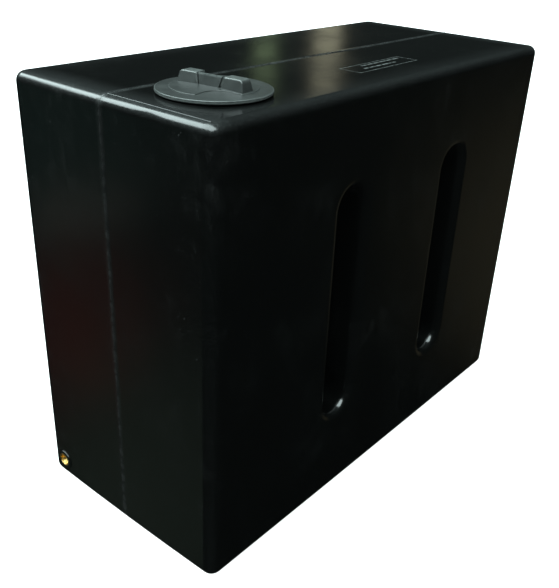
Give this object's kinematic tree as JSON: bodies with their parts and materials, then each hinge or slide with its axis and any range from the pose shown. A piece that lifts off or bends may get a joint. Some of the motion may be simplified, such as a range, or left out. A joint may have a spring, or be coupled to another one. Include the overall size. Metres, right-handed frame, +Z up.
{
  "type": "fresh water tank",
  "caption": "Upright rotomoulded fresh water tank with moulded-through baffle slots, a threaded lid with a breather, and a brass outlet near the base.",
  "frame": {"origin": "on the floor, under the middle of the tank's base", "axes": "+Z up; +X along the tank's length, away from the outlet end; +Y across its width, away from the side that the lid is nearer to"},
  "size_m": [1.1966, 0.5398, 0.983],
  "materials": {
    "shell_polyethylene": "satin-gloss black rotomoulded polyethylene, faint orange peel",
    "neck_plastic": "matt black moulded plastic",
    "lid_plastic": "matt dark grey moulded plastic, fine grain",
    "gasket_rubber": "smooth black rubber",
    "screen_steel": "plain stainless steel",
    "outlet_brass": "machined brass"
  },
  "bodies": {
    "tank": {"tank_shell": "shell_polyethylene", "neck_ring": "neck_plastic", "outlet_insert": "outlet_brass"},
    "seal": {"lid_gasket": "gasket_rubber"},
    "lid": {"lid": "lid_plastic", "breather_screen": "screen_steel", "screen_ring": "neck_plastic"}
  },
  "joints": [
    {"name": "lid_rise", "type": "slide", "parent": "tank", "child": "seal", "axis": [0, 0, 1], "range_m": [0, 0.09]},
    {"name": "lid_turn", "type": "hinge", "parent": "seal", "child": "lid", "pos_m": [-0.434, -0.115, 0.955], "axis": [0, 0, 1], "range_deg": [0, 1800]}
  ],
  "couplings": [
    {"joint": "lid_rise", "follows": "lid_turn", "m_per_rad": 0.0028648}
  ]
}
